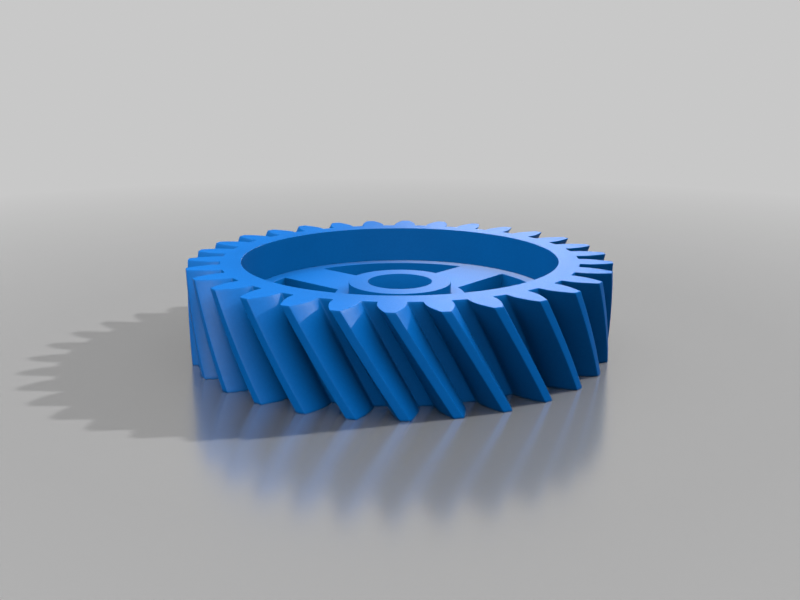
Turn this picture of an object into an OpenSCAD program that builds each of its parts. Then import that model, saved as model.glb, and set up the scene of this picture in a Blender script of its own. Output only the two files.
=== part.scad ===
// Left-hand helical idler gear: a toothed rim on a spoked centre, turning on a plain bearing sleeve.
// Millimetres. The origin is the centre of the underside, +Z up along the gear's axis, and the four
// spokes lie along X and Y.

/* [Teeth] */
// Number of teeth
teeth = 30; // [30:1:45]
// Module measured across the face, square to the axis
tooth_module = 1.01; // [1.01:0.01:1.3]
// Pressure angle measured across the face, square to the axis, in degrees
pressure_a = 20; // [18:0.5:22]
// Helix angle at the pitch circle, in degrees
helix_a = 30; // [0:1:35]
// Height of a tooth above the pitch circle
addendum = 1.05; // [0.9:0.01:1.1]
// Depth of a tooth space below the pitch circle
dedendum = 1.43; // [1.2:0.01:1.45]
// How far each tooth is thinned at the pitch circle, so that meshing teeth have play
tooth_play = 0.05; // [0:0.01:0.15]

/* [Rim] */
// Width of the toothed rim along the axis
face_w = 7; // [6:0.5:12]
// Diameter of the rim's inner wall above the web
rim_in_d = 24.3; // [23.5:0.1:24.3]
// Width of the shoulder inside the rim that the web seats against
shoulder_w = 0.5; // [0.3:0.05:0.55]

/* [Web] */
// Thickness of the web
web_h = 4; // [3:0.5:4.5]
// Diameter of the windows' outer arcs
window_out_d = 22.2; // [18:0.1:22.5]
// Diameter of the windows' inner arcs
window_in_d = 10.2; // [10:0.1:12]
// Width of each spoke
spoke_w = 4.5; // [3:0.1:5.5]
// Width of the drive lug at each spoke's end
lug_w = 3; // [2:0.1:4]
// Reach of a drive lug beyond the web's seat
lug_reach = 0.5; // [0.3:0.05:0.5]

/* [Sleeve] */
// Bore of the sleeve, for the axle
bore_d = 5; // [3:0.1:5.5]
// Outer diameter of the sleeve
sleeve_d = 8; // [7:0.1:8]
// Length of the sleeve from the underside
sleeve_h = 5; // [5:0.5:8]
// Diameter of the thrust flange at the sleeve's foot
flange_d = 9.1; // [8.6:0.1:9.1]
// Thickness of the thrust flange
flange_h = 1; // [0.8:0.1:1.5]
// Gap between the sleeve and the wheel that turns on it
running_gap = 0.04; // [0.02:0.01:0.08]

/* [Hidden] */

// Facets of the round features, steps up each flank and slices along the twisted teeth
$fn = 96;
flank_steps = 5;
twist_slices = 7;

// How far a cutting shape runs past the face that it cuts
overcut = 1;

gear_blue = [0.04, 0.33, 0.72];
sleeve_blue = [0.06, 0.36, 0.75];

spokes = 4;
pitch_r = teeth * tooth_module / 2;
tip_r = pitch_r + addendum;
root_r = pitch_r - dedendum;
base_r = pitch_r * cos(pressure_a);
tooth_pitch_a = 360 / teeth;
twist_a = face_w * tan(helix_a) / pitch_r * 180 / PI;

// Half of a tooth's angular thickness at the pitch circle
pitch_half_a = tooth_pitch_a / 4 - tooth_play / 2 / pitch_r * 180 / PI;

rim_in_r = rim_in_d / 2;
seat_r = rim_in_r + shoulder_w;
sleeve_r = sleeve_d / 2;
flange_r = flange_d / 2;

// Involute function, in degrees
function involute_a(a) = tan(a) * 180 / PI - a;

// Half of a tooth's angular thickness at radius r: an involute down to the base circle, radial below it
function tooth_half_a(r) =
    pitch_half_a + involute_a(pressure_a) - involute_a(acos(base_r / max(r, base_r)));

function polar(r, a) = [r * cos(a), r * sin(a)];

// Radii along a flank from the root circle to the tip circle
flank_r = [for (i = [0:flank_steps]) root_r + (tip_r - root_r) * i / flank_steps];

// Outline of the toothed ring across the axis: up one flank of each tooth and down the other
gear_outline = [
    for (k = [0:teeth - 1], side = [-1, 1], i = [0:flank_steps])
        let (r = flank_r[side < 0 ? i : flank_steps - i])
        polar(r, k * tooth_pitch_a + side * tooth_half_a(r))
];

// The drive lugs, each from inside the web out to the lug's end
module drive_lugs(from_z, to_z) {
    for (k = [0:spokes - 1]) rotate(k * 360 / spokes)
        translate([seat_r - overcut, -lug_w / 2, from_z])
            cube([overcut + lug_reach, lug_w, to_z - from_z]);
}

// The hole between two spokes
module window_cutter() {
    difference() {
        intersection() {
            translate([0, 0, -overcut]) cylinder(h = web_h + 2 * overcut, d = window_out_d);
            translate([spoke_w / 2, spoke_w / 2, -overcut])
                cube([window_out_d, window_out_d, web_h + 2 * overcut]);
        }
        translate([0, 0, -2 * overcut]) cylinder(h = web_h + 4 * overcut, d = window_in_d);
    }
}

module toothed_rim() {
    color(gear_blue) difference() {
        linear_extrude(height = face_w, twist = twist_a, slices = twist_slices) polygon(gear_outline);
        translate([0, 0, -overcut]) cylinder(h = face_w + 2 * overcut, r = rim_in_r);
        translate([0, 0, -overcut]) cylinder(h = web_h + overcut, r = seat_r);
        drive_lugs(-overcut, web_h);
    }
}

module spoked_web() {
    color(gear_blue) difference() {
        union() {
            cylinder(h = web_h, r = seat_r);
            drive_lugs(0, web_h);
        }
        for (k = [0:spokes - 1]) rotate(k * 360 / spokes) window_cutter();
        translate([0, 0, -overcut]) cylinder(h = web_h + 2 * overcut, r = sleeve_r + running_gap);
        translate([0, 0, -overcut])
            cylinder(h = flange_h + running_gap + overcut, r = flange_r + running_gap);
    }
}

module hub_sleeve() {
    color(sleeve_blue) difference() {
        union() {
            cylinder(h = sleeve_h, r = sleeve_r);
            cylinder(h = flange_h, r = flange_r);
        }
        translate([0, 0, -overcut]) cylinder(h = sleeve_h + 2 * overcut, d = bore_d);
    }
}

toothed_rim();
spoked_web();
hub_sleeve();
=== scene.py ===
import math

import bmesh
import bpy
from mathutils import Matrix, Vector


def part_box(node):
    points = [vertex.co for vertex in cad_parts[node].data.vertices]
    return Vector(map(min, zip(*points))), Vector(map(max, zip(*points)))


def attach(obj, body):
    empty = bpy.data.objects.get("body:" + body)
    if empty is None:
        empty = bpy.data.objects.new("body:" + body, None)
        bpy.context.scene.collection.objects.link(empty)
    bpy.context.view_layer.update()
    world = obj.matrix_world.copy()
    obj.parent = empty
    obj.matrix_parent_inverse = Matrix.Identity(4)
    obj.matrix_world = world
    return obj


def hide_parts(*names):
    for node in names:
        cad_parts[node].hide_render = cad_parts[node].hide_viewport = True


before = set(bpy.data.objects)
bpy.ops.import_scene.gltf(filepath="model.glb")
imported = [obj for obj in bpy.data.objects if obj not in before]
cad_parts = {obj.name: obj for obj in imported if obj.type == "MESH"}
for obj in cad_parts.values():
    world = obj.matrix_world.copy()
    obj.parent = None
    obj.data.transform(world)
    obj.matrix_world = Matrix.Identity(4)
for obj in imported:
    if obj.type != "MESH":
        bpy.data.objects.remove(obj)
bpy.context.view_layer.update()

MM = 0.001

# ---------------------------------------------------------------- sizes, in millimetres and degrees

RIM_LOW, RIM_HIGH = (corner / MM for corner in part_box("toothed_rim"))
WEB_LOW, WEB_HIGH = (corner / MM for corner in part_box("spoked_web"))
SLEEVE_LOW, SLEEVE_HIGH = (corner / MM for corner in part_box("hub_sleeve"))

TEETH = 30
PITCH_R = 15.15
DEDENDUM = 1.43
TIP_R = min(RIM_HIGH.x, RIM_HIGH.y)
ROOT_R = PITCH_R - DEDENDUM
PRESSURE_A = math.radians(20)
HELIX_A = math.radians(30)
TOOTH_PLAY = 0.05
FACE_W = RIM_HIGH.z
TWIST_PER_MM = math.tan(HELIX_A) / PITCH_R
TWIST = TWIST_PER_MM * FACE_W

RIM_IN_R = 12.15
SHOULDER_W = 0.5
SEAT_R = RIM_IN_R + SHOULDER_W
SEAT_GAP = 0.01
LUG_R = WEB_HIGH.x
LUG_W = 3.0
WEB_H = WEB_HIGH.z
SPOKE_W = 4.5
SPOKES = 4
QUARTER = 2 * math.pi / SPOKES
WINDOW_OUT_R = 11.1
WINDOW_IN_R = 5.1

BORE_R = 2.5
SLEEVE_R = 4.0
SLEEVE_H = SLEEVE_HIGH.z
FLANGE_R = SLEEVE_HIGH.x
FLANGE_H = 1.0
RUNNING_GAP = 0.04

# Mesh fineness
FLANK_POINTS = 12
LAND_POINTS = 3
HELIX_STEPS = 40
CIRCLE_POINTS = 192
WINDOW_IN_POINTS = 12
STAGE_POINTS = 96
EASE_STEPS = 2
CORNER_STEPS = 3
SHARPEST_MITRE = 0.3
FLAT_FACE_WEIGHT = 90

# How far the rounding reaches: at end edges, at upright corners and at the teeth's feet
EDGE = 0.03
CORNER = 0.04
ROOT_CORNER = 0.14


# ---------------------------------------------------------------- outlines across the axis

def polar(radius, angle):
    return Vector((radius * math.cos(angle), radius * math.sin(angle)))


def circle(radius, points=CIRCLE_POINTS):
    return [polar(radius, 2 * math.pi * i / points) for i in range(points)]


def arc(radius, start, end, points):
    """Points on an arc about the axis, both ends included."""
    return [polar(radius, start + (end - start) * i / (points - 1)) for i in range(points)]


def eased(points, corners):
    """The closed outline with a small curve at each corner, given as {point's index: reach}."""
    made = []
    for i, p in enumerate(points):
        if i not in corners:
            made.append(p)
            continue
        before = p + (points[i - 1] - p).normalized() * corners[i]
        after = p + (points[(i + 1) % len(points)] - p).normalized() * corners[i]
        for s in range(CORNER_STEPS + 1):
            t = s / CORNER_STEPS
            made.append(before * (1 - t) ** 2 + p * 2 * t * (1 - t) + after * t ** 2)
    return made


def inset(points, distance):
    """The counter-clockwise outline moved inwards by distance."""
    moved = []
    for i, p in enumerate(points):
        a = (p - points[i - 1]).normalized()
        b = (points[(i + 1) % len(points)] - p).normalized()
        inward = Vector((-a.y - b.y, a.x + b.x))
        moved.append(p + inward.normalized() * distance / max(SHARPEST_MITRE, inward.length / 2))
    return moved


def turned(points, angle):
    c, s = math.cos(angle), math.sin(angle)
    return [Vector((p.x * c - p.y * s, p.x * s + p.y * c)) for p in points]


def involute(a):
    return math.tan(a) - a


def tooth_half_angle(radius):
    """Half of a tooth's angle at a radius: an involute, with a radial foot below the base circle."""
    base_r = PITCH_R * math.cos(PRESSURE_A)
    at_pitch = math.pi / 2 / TEETH - TOOTH_PLAY / 2 / PITCH_R
    return at_pitch + involute(PRESSURE_A) - involute(math.acos(base_r / max(radius, base_r)))


def gear_outline():
    """The toothed outline, counter-clockwise, each tooth as flank, land, flank and root land."""
    radii = [ROOT_R + (TIP_R - ROOT_R) * i / (FLANK_POINTS - 1) for i in range(FLANK_POINTS)]
    pitch_a = 2 * math.pi / TEETH
    tip_a, root_a = tooth_half_angle(TIP_R), tooth_half_angle(ROOT_R)
    points, corners = [], {}
    for k in range(TEETH):
        middle = k * pitch_a
        corners[len(points)] = ROOT_CORNER
        points += [polar(r, middle - tooth_half_angle(r)) for r in radii]
        corners[len(points) - 1] = CORNER
        points += arc(TIP_R, middle - tip_a, middle + tip_a, LAND_POINTS + 2)[1:-1]
        corners[len(points)] = CORNER
        points += [polar(r, middle + tooth_half_angle(r)) for r in reversed(radii)]
        corners[len(points) - 1] = ROOT_CORNER
        points += arc(ROOT_R, middle + root_a, middle + pitch_a - root_a, LAND_POINTS + 2)[1:-1]
    return eased(points, corners)


def seat_outline(gap):
    """The web's outer edge with its four drive lugs, or the hole in the rim that holds it."""
    radius, lug_r, half_w = SEAT_R - gap, LUG_R - gap, LUG_W / 2 - gap
    lug_a = math.asin(half_w / radius)
    points, corners = [], {}
    for k in range(SPOKES):
        middle = k * QUARTER
        corners[len(points)] = CORNER
        corners[len(points) + 1] = CORNER
        points += turned([Vector((lug_r, -half_w)), Vector((lug_r, half_w))], middle)
        corners[len(points)] = CORNER
        points += arc(radius, middle + lug_a, middle + QUARTER - lug_a, CIRCLE_POINTS // SPOKES)
        corners[len(points) - 1] = CORNER
    return eased(points, corners)


def window_outline():
    """The hole between two spokes: two arcs joined by straight edges along the spokes."""
    half_w = SPOKE_W / 2
    out_a, in_a = math.asin(half_w / WINDOW_OUT_R), math.asin(half_w / WINDOW_IN_R)
    outer = arc(WINDOW_OUT_R, out_a, QUARTER - out_a, CIRCLE_POINTS // SPOKES)
    inner = arc(WINDOW_IN_R, QUARTER - in_a, in_a, WINDOW_IN_POINTS)
    last = len(outer) + len(inner) - 1
    return eased(outer + inner, {i: CORNER for i in (0, len(outer) - 1, len(outer), last)})


# ---------------------------------------------------------------- solids from walls and caps

def wall(bm, points, low, high, hole=False, eases=(EDGE, EDGE), steps=1, twist=0.0):
    """Sweeps a closed outline from low to high, with rounded end edges, and returns its end rings.
    An outline's wall faces outwards, a hole's inwards. eases are the roundings' reach at low and
    high, steps the number of levels between them, and twist the whole turn in radians."""
    rounding = [math.pi / 2 * s / EASE_STEPS for s in range(EASE_STEPS + 1)]
    foot, head = low + eases[0], high - eases[1]
    levels = [(eases[0] * (1 - math.sin(a)), low + eases[0] * (1 - math.cos(a))) for a in rounding]
    levels += [(0.0, foot + (head - foot) * s / steps) for s in range(1, steps)]
    levels += [(eases[1] * (1 - math.cos(a)), head + eases[1] * math.sin(a)) for a in rounding]
    rings = []
    for reach, z in dict.fromkeys(levels):
        shape = inset(points, -reach if hole else reach) if reach else points
        shape = turned(shape, twist * (z - low) / (high - low)) if twist else shape
        rings.append([bm.verts.new((p.x * MM, p.y * MM, z * MM)) for p in shape])
    for lower, upper in zip(rings, rings[1:]):
        for i in range(len(lower)):
            j = (i + 1) % len(lower)
            corners = (lower[i], lower[j], upper[j], upper[i])
            bm.faces.new(corners[::-1] if hole else corners).smooth = True
    return rings[0], rings[-1]


def cap(bm, rings, up):
    """Fills the flat face between closed rings of vertices, facing up or down, with sharp borders."""
    edges = [bm.edges.get((ring[i - 1], ring[i])) for ring in rings for i in range(len(ring))]
    normal = Vector((0, 0, 1 if up else -1))
    made = bmesh.ops.triangle_fill(bm, use_beauty=True, edges=edges, normal=normal)
    for face in (f for f in made["geom"] if isinstance(f, bmesh.types.BMFace)):
        face.normal_update()
        face.smooth = False
        if face.normal.z * normal.z < 0:
            face.normal_flip()
    for edge in edges:
        edge.smooth = False


def piece(name, bm, body, node, material):
    """Turns the mesh into a piece that rides on a body and stands for a CAD node."""
    mesh = bpy.data.meshes.new(name)
    bm.to_mesh(mesh)
    bm.free()
    mesh.materials.append(material)
    made = bpy.data.objects.new(name, mesh)
    bpy.context.scene.collection.objects.link(made)
    weighted = made.modifiers.new("flat_faces_stay_flat", "WEIGHTED_NORMAL")
    weighted.weight = FLAT_FACE_WEIGHT
    weighted.keep_sharp = True
    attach(made, body)
    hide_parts(node)
    return made


def toothed_rim(material):
    bm = bmesh.new()
    foot, head = wall(bm, gear_outline(), 0, FACE_W, steps=HELIX_STEPS, twist=-TWIST)
    seat_foot, seat_head = wall(bm, seat_outline(0), 0, WEB_H, hole=True, eases=(EDGE, 0))
    in_foot, in_head = wall(bm, circle(RIM_IN_R), WEB_H, FACE_W, hole=True)
    cap(bm, [foot, seat_foot], up=False)
    cap(bm, [seat_head, in_foot], up=False)
    cap(bm, [head, in_head], up=True)
    return piece("rim_with_helical_teeth", bm, "gear_wheel", "toothed_rim", material)


def spoked_web(material):
    bm = bmesh.new()
    feet, heads = zip(
        wall(bm, seat_outline(SEAT_GAP), 0, WEB_H),
        *(wall(bm, turned(window_outline(), k * QUARTER), 0, WEB_H, hole=True) for k in range(SPOKES)),
    )
    ceiling = FLANGE_H + RUNNING_GAP
    pocket_foot, pocket_head = wall(bm, circle(FLANGE_R + RUNNING_GAP), 0, ceiling, hole=True,
                                    eases=(EDGE, 0))
    bore_foot, bore_head = wall(bm, circle(SLEEVE_R + RUNNING_GAP), ceiling, WEB_H, hole=True)
    cap(bm, [*feet, pocket_foot], up=False)
    cap(bm, [pocket_head, bore_foot], up=False)
    cap(bm, [*heads, bore_head], up=True)
    return piece("web_with_four_spokes", bm, "gear_wheel", "spoked_web", material)


def hub_sleeve(material):
    bm = bmesh.new()
    flange_foot, flange_head = wall(bm, circle(FLANGE_R), 0, FLANGE_H)
    neck, top = wall(bm, circle(SLEEVE_R), FLANGE_H, SLEEVE_H, eases=(0, EDGE))
    bore_foot, bore_head = wall(bm, circle(BORE_R), 0, SLEEVE_H, hole=True)
    cap(bm, [flange_foot, bore_foot], up=False)
    cap(bm, [flange_head, neck], up=True)
    cap(bm, [top, bore_head], up=True)
    return piece("bearing_sleeve", bm, "sleeve", "hub_sleeve", material)


# ---------------------------------------------------------------- materials

WHITE, BLACK = (1, 1, 1, 1), (0, 0, 0, 1)

GEAR_BLUE = (0.0010, 0.088, 0.315)
TONE_RANGE = 0.05
GEAR_IOR = 1.12
ROUGHNESS = 0.46
ROUGHNESS_RANGE = 0.04

# Noises as (scale per metre, detail), and the values that one noise, or two added, mostly lie between
CLOUD_NOISE = (260.0, 4.0)
SPECKLE_NOISE = (5000.0, 2.0)
GRAIN_NOISE = (9000.0, 2.0)
LINE_NOISE = (5200.0, 3.0)
LINE_STRETCH = 0.04
NOISE_SPAN = (0.3, 0.7)
TWO_NOISES_SPAN = (0.7, 1.3)

# Depths in metres
GRAIN_DEPTH = 0.000004
RIM_LINE_DEPTH = 0.000004
HUB_LINE_DEPTH = 0.000002

FLOOR_GREY = (0.078, 0.078, 0.078)
FLOOR_GLOSS = 0.57
FLOOR_ROUGHNESS = 0.2
BACKDROP = (0.578, 0.578, 0.578)
MIRRORED_GREY = (0.385, 0.385, 0.385)

# Where the floor starts and ends its fade into the backdrop, in millimetres from the axis
FADE_START = 30.0
FADE_END = 107.0


def node(tree, kind, inputs=(), **settings):
    """Adds a shader node. inputs are (socket, value or output socket) pairs."""
    made = tree.nodes.new(kind)
    for key, value in settings.items():
        setattr(made, key, value)
    for socket, value in inputs:
        if isinstance(value, bpy.types.NodeSocket):
            tree.links.new(value, made.inputs[socket])
        else:
            made.inputs[socket].default_value = value
    return made


def plain_material(name):
    material = bpy.data.materials.new(name)
    material.use_nodes = True
    material.node_tree.nodes.clear()
    return material, material.node_tree


def mapped(tree, value, low, high, to_low=0.0, to_high=1.0, **settings):
    """Takes low..high to to_low..to_high."""
    ends = [("From Min", low), ("From Max", high), ("To Min", to_low), ("To Max", to_high)]
    return node(tree, "ShaderNodeMapRange", [("Value", value)] + ends, **settings).outputs[0]


def noise(tree, place, scale, detail):
    return node(tree, "ShaderNodeTexNoise", [("Vector", place), ("Scale", scale),
                                             ("Detail", detail)]).outputs[0]


def blue_plastic(name, line_depth, along_helix):
    """Satin blue plastic: slight clouds and speckle in the colour, a fine grain, and tooling lines
    line_depth metres deep that follow the teeth, or run up the walls where along_helix is false.
    It throws no light on its neighbours."""
    material, tree = plain_material(name)
    place = node(tree, "ShaderNodeTexCoord").outputs["Object"]
    height = node(tree, "ShaderNodeSeparateXYZ", [(0, place)]).outputs["Z"]
    turn = node(tree, "ShaderNodeMath", [(0, height), (1, TWIST_PER_MM / MM if along_helix else 0.0)],
                operation="MULTIPLY").outputs[0]
    untwisted = node(tree, "ShaderNodeVectorRotate", [("Vector", place), ("Angle", turn)],
                     rotation_type="Z_AXIS").outputs[0]
    drawn_out = node(tree, "ShaderNodeMapping",
                     [(0, untwisted), ("Scale", (1, 1, LINE_STRETCH))]).outputs[0]
    lines = noise(tree, drawn_out, *LINE_NOISE)
    grain = noise(tree, place, *GRAIN_NOISE)
    cloud = noise(tree, place, *CLOUD_NOISE)
    speckle = noise(tree, place, *SPECKLE_NOISE)

    tones = node(tree, "ShaderNodeMath", [(0, cloud), (1, speckle)], operation="ADD").outputs[0]
    tint = mapped(tree, tones, *TWO_NOISES_SPAN)
    deep, light = ([c * tone for c in GEAR_BLUE] + [1.0] for tone in (1 - TONE_RANGE, 1 + TONE_RANGE))
    shade = node(tree, "ShaderNodeMix", [(0, tint), (6, deep), (7, light)], data_type="RGBA").outputs[2]
    bounced = node(tree, "ShaderNodeLightPath").outputs["Is Diffuse Ray"]
    base = node(tree, "ShaderNodeMix", [(0, bounced), (6, shade), (7, BLACK)], data_type="RGBA").outputs[2]

    gloss = mapped(tree, grain, *NOISE_SPAN, ROUGHNESS - ROUGHNESS_RANGE, ROUGHNESS + ROUGHNESS_RANGE)
    fine = node(tree, "ShaderNodeBump", [("Strength", 1.0), ("Distance", GRAIN_DEPTH),
                                         ("Height", grain)]).outputs[0]
    both = node(tree, "ShaderNodeBump", [("Strength", 1.0), ("Distance", line_depth),
                                         ("Height", lines), ("Normal", fine)]).outputs[0]
    shader = node(tree, "ShaderNodeBsdfPrincipled", [("Base Color", base), ("Roughness", gloss),
                                                     ("Normal", both), ("IOR", GEAR_IOR)])
    node(tree, "ShaderNodeOutputMaterial", [("Surface", shader.outputs[0])])
    return material


def floor_material():
    """Grey, slightly glossy near the object, fading into the plain backdrop further out."""
    material, tree = plain_material("floor_grey")
    place = node(tree, "ShaderNodeTexCoord").outputs["Object"]
    distance = node(tree, "ShaderNodeVectorMath", [(0, place)], operation="LENGTH").outputs["Value"]
    fade = mapped(tree, distance, FADE_START * MM, FADE_END * MM)
    matt = node(tree, "ShaderNodeBsdfDiffuse", [("Color", (*FLOOR_GREY, 1))])
    gloss = node(tree, "ShaderNodeBsdfAnisotropic", [("Color", WHITE), ("Roughness", FLOOR_ROUGHNESS)])
    near = node(tree, "ShaderNodeMixShader", [(0, FLOOR_GLOSS), (1, matt.outputs[0]),
                                              (2, gloss.outputs[0])])
    far = node(tree, "ShaderNodeEmission", [("Color", (*BACKDROP, 1)), ("Strength", 1.0)])
    mixed = node(tree, "ShaderNodeMixShader", [(0, fade), (1, near.outputs[0]), (2, far.outputs[0])])
    node(tree, "ShaderNodeOutputMaterial", [("Surface", mixed.outputs[0])])
    return material


# ---------------------------------------------------------------- floor, light and camera

FLOOR_R = 400.0
BACKDROP_HEIGHT = 400.0

# Camera: distance, centre and lens in millimetres, and the clipping range in metres
VIEW_AZIMUTH = math.radians(40.74)
VIEW_ELEVATION = math.radians(14.915)
VIEW_DISTANCE = 68.9
VIEW_CENTRE = (0.015, 0.013, 3.465)
LENS = 39.38
NEAREST, FARTHEST = 0.001, 10.0

# Straight behind the object, seen from the camera
AWAY = VIEW_AZIMUTH + math.pi

# The key light is split, so that web, rim and floor each get their own share
KEY_AZIMUTH = AWAY - math.radians(75.7)
KEY_ELEVATION = math.radians(30)
KEY_SOFTNESS = math.radians(1.5)
KEY_ON_WEB = 1.4
KEY_ON_RIM = 1.6
KEY_GLINT = 6.6
KEY_ON_FLOOR = 20.0

TOP_ELEVATION = math.radians(60)
TOP_STRENGTH = 0.5
TOP_SOFTNESS = math.radians(15)

SKY_BRIGHTNESS = 3.3
SKY_START = math.radians(11)
SKY_FULL = math.radians(32)
MIRRORED_SKY = 0.03

# Softboxes: distances and sizes in metres, powers in watts
BACK_AZIMUTH = AWAY - math.radians(12.8)
BACK_ELEVATION = math.radians(23)
BACK_DISTANCE = 0.108
BACK_SIZE = (0.042, 0.02)
BACK_POWER = 0.0445
FRONT_ELEVATION = math.radians(42.5)
FRONT_DISTANCE = 0.4
FRONT_SIZE = (0.08, 0.08)
FRONT_POWER = 3.5

# The shade card's rounded end, width, length and distance along the key light, in millimetres
CARD_R = 12.9
CARD_HALF_W = 25.0
CARD_LENGTH = 60.0
CARD_AWAY = 70.0
CARD_POINTS = 33


def direction(azimuth, elevation):
    """Unit vector from the object towards a camera or light: azimuth 0 is along -Y and 90 along +X."""
    flat = math.cos(elevation)
    return Vector((math.sin(azimuth) * flat, -math.cos(azimuth) * flat, math.sin(elevation)))


def aim(thing, position, target):
    thing.location = position
    thing.rotation_mode = "QUATERNION"
    thing.rotation_quaternion = (target - position).to_track_quat("-Z", "Y")


def add(name, data):
    made = bpy.data.objects.new(name, data)
    bpy.context.scene.collection.objects.link(made)
    return made


def camera():
    data = bpy.data.cameras.new("camera")
    data.lens = LENS
    data.clip_start, data.clip_end = NEAREST, FARTHEST
    made = add("camera", data)
    middle = Vector(VIEW_CENTRE) * MM
    aim(made, middle + direction(VIEW_AZIMUTH, VIEW_ELEVATION) * VIEW_DISTANCE * MM, middle)
    bpy.context.scene.camera = made


def staged(name, bm, material):
    mesh = bpy.data.meshes.new(name)
    bm.to_mesh(mesh)
    bm.free()
    mesh.materials.append(material)
    made = add(name, mesh)
    return made


def floor():
    """The floor throws no light back up on the object."""
    bm = bmesh.new()
    bmesh.ops.create_circle(bm, cap_ends=True, radius=FLOOR_R * MM, segments=STAGE_POINTS)
    made = staged("floor", bm, floor_material())
    made.visible_diffuse = False
    return made


def backdrop():
    """A plain curved wall round the floor, which the floor mirrors as an even grey."""
    material, tree = plain_material("backdrop_grey")
    glow = node(tree, "ShaderNodeEmission", [("Color", (*MIRRORED_GREY, 1)), ("Strength", 1.0)])
    node(tree, "ShaderNodeOutputMaterial", [("Surface", glow.outputs[0])])
    bm = bmesh.new()
    foot, head = ([bm.verts.new((p.x * MM, p.y * MM, z * MM)) for p in circle(FLOOR_R, STAGE_POINTS)]
                  for z in (0, BACKDROP_HEIGHT))
    for i in range(len(foot)):
        bm.faces.new((foot[i - 1], head[i - 1], head[i], foot[i]))
    made = staged("backdrop", bm, material)
    made.visible_camera = made.visible_diffuse = made.visible_shadow = False
    return made


def sun(name, azimuth, elevation, strength, softness):
    """A distant light with parallel rays. softness is the angle that it fills."""
    data = bpy.data.lights.new(name, "SUN")
    data.energy, data.angle = strength, softness
    made = add(name, data)
    aim(made, direction(azimuth, elevation), Vector((0, 0, 0)))
    return made


def softbox(name, azimuth, elevation, distance, size, power):
    """A rectangular area light that faces the object and shows only as sheen."""
    data = bpy.data.lights.new(name, "AREA")
    data.shape, data.size, data.size_y, data.energy = "RECTANGLE", size[0], size[1], power
    made = add(name, data)
    made.visible_camera = made.visible_diffuse = False
    aim(made, direction(azimuth, elevation) * distance, Vector((0, 0, 0)))
    return made


def shade_card(azimuth, elevation):
    """A card between the rim and the key light. It keeps the key off the recess and off the side of the
    rim next to the light. It is drawn at the height of the rim's top and slid back towards the light."""
    bm = bmesh.new()
    towards = direction(azimuth, elevation)
    side = Vector((-towards.y, towards.x, 0)).normalized()
    ahead = Vector((towards.x, towards.y, 0)).normalized()
    outline = arc(CARD_R, math.pi / 2, 3 * math.pi / 2, CARD_POINTS)
    outline += [Vector((0, -CARD_HALF_W)), Vector((CARD_LENGTH, -CARD_HALF_W)),
                Vector((CARD_LENGTH, CARD_HALF_W)), Vector((0, CARD_HALF_W))]
    centre = Vector((0, 0, FACE_W)) + towards * CARD_AWAY
    bm.faces.new([bm.verts.new((centre + ahead * p.x + side * p.y) * MM) for p in outline])
    material, tree = plain_material("card_black")
    node(tree, "ShaderNodeOutputMaterial",
         [("Surface", node(tree, "ShaderNodeBsdfDiffuse", [("Color", BLACK)]).outputs[0])])
    made = staged("shade_card", bm, material)
    made.visible_camera = made.visible_diffuse = made.visible_glossy = False


def shine_only_on(light, things):
    group = bpy.data.collections.new(light.name + "_lights_only")
    for thing in things:
        group.objects.link(thing)
    light.light_linking.receiver_collection = group


def shaded_only_by(light, blockers):
    group = bpy.data.collections.new(light.name + "_shaded_by")
    for thing in blockers:
        group.objects.link(thing)
    light.light_linking.blocker_collection = group


def soft_sky():
    """An even glow from overhead that fades in from SKY_START above the horizon to SKY_FULL. Surfaces
    mirror a dim grey instead, and the camera sees the backdrop's grey."""
    world = bpy.data.worlds.new("studio")
    bpy.context.scene.world = world
    world.use_nodes = True
    tree = world.node_tree
    tree.nodes.clear()
    up = node(tree, "ShaderNodeTexCoord").outputs["Generated"]
    height = node(tree, "ShaderNodeSeparateXYZ", [(0, up)]).outputs["Z"]
    share = mapped(tree, height, math.sin(SKY_START), math.sin(SKY_FULL), 0.0, SKY_BRIGHTNESS,
                   interpolation_type="SMOOTHSTEP")
    glow = node(tree, "ShaderNodeBackground", [("Color", WHITE), ("Strength", share)])
    dim, plain = (node(tree, "ShaderNodeBackground", [("Color", (*BACKDROP, 1)), ("Strength", strength)])
                  for strength in (MIRRORED_SKY, 1.0))
    path = node(tree, "ShaderNodeLightPath").outputs
    lit = node(tree, "ShaderNodeMixShader", [(0, path["Is Glossy Ray"]), (1, glow.outputs[0]),
                                             (2, dim.outputs[0])])
    mixed = node(tree, "ShaderNodeMixShader", [(0, path["Is Camera Ray"]), (1, lit.outputs[0]),
                                               (2, plain.outputs[0])])
    node(tree, "ShaderNodeOutputWorld", [("Surface", mixed.outputs[0])])


# ---------------------------------------------------------------- the scene

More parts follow.
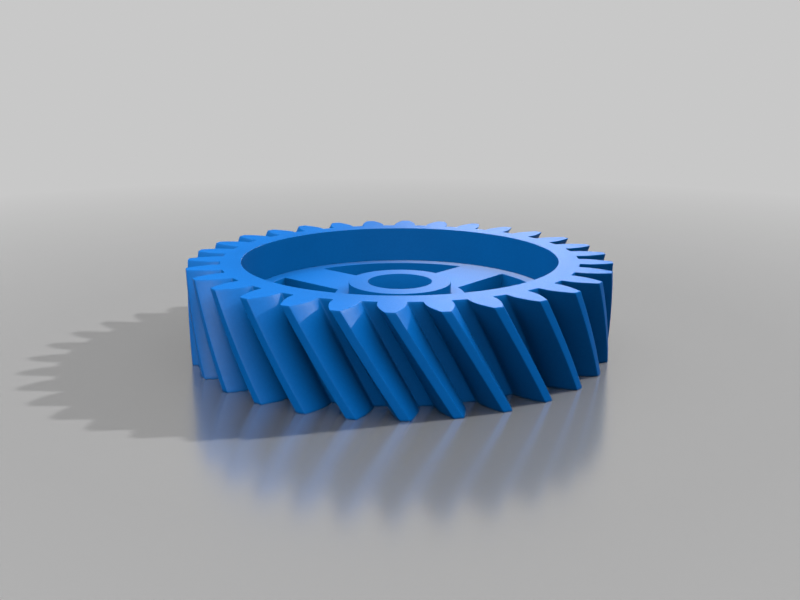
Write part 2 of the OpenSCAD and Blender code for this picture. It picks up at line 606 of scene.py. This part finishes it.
rim = toothed_rim(blue_plastic("rim_blue_plastic", RIM_LINE_DEPTH, along_helix=True))
web = spoked_web(blue_plastic("web_blue_plastic", HUB_LINE_DEPTH, along_helix=False))
sleeve = hub_sleeve(blue_plastic("sleeve_blue_plastic", HUB_LINE_DEPTH, along_helix=False))
gear = [rim, web, sleeve]

camera()
ground = floor()
shine_only_on(backdrop(), [ground])
soft_sky()
shade_card(KEY_AZIMUTH, KEY_ELEVATION)

key_light = sun("key_light", KEY_AZIMUTH, KEY_ELEVATION, KEY_ON_WEB, KEY_SOFTNESS)
shine_only_on(key_light, [web])
shaded_only_by(key_light, gear + [ground])

# The card shades these two
key_on_rim = sun("key_light_on_rim", KEY_AZIMUTH, KEY_ELEVATION, KEY_ON_RIM, KEY_SOFTNESS)
shine_only_on(key_on_rim, [rim])
key_glint = sun("key_glint", KEY_AZIMUTH, KEY_ELEVATION, KEY_GLINT, KEY_SOFTNESS)
key_glint.visible_diffuse = False
shine_only_on(key_glint, [rim])

key_on_floor = sun("key_light_on_floor", KEY_AZIMUTH, KEY_ELEVATION, KEY_ON_FLOOR, KEY_SOFTNESS)
key_on_floor.visible_glossy = False
shine_only_on(key_on_floor, [ground])
shaded_only_by(key_on_floor, gear + [ground])

top_light = sun("top_light", AWAY, TOP_ELEVATION, TOP_STRENGTH, TOP_SOFTNESS)
top_light.visible_glossy = False
shine_only_on(top_light, gear)
shaded_only_by(top_light, gear + [ground])

# The rim doesn't shade the sheen on the web and sleeve
for name, lit, blockers in (("rim", [rim], gear + [ground]), ("web", [web, sleeve], [ground])):
    sheen = softbox("back_softbox_for_" + name, BACK_AZIMUTH, BACK_ELEVATION, BACK_DISTANCE, BACK_SIZE,
                    BACK_POWER)
    shine_only_on(sheen, lit)
    shaded_only_by(sheen, blockers)

front = softbox("front_softbox", VIEW_AZIMUTH, FRONT_ELEVATION, FRONT_DISTANCE, FRONT_SIZE, FRONT_POWER)
shine_only_on(front, [rim])

bpy.context.scene.view_settings.view_transform = "Standard"
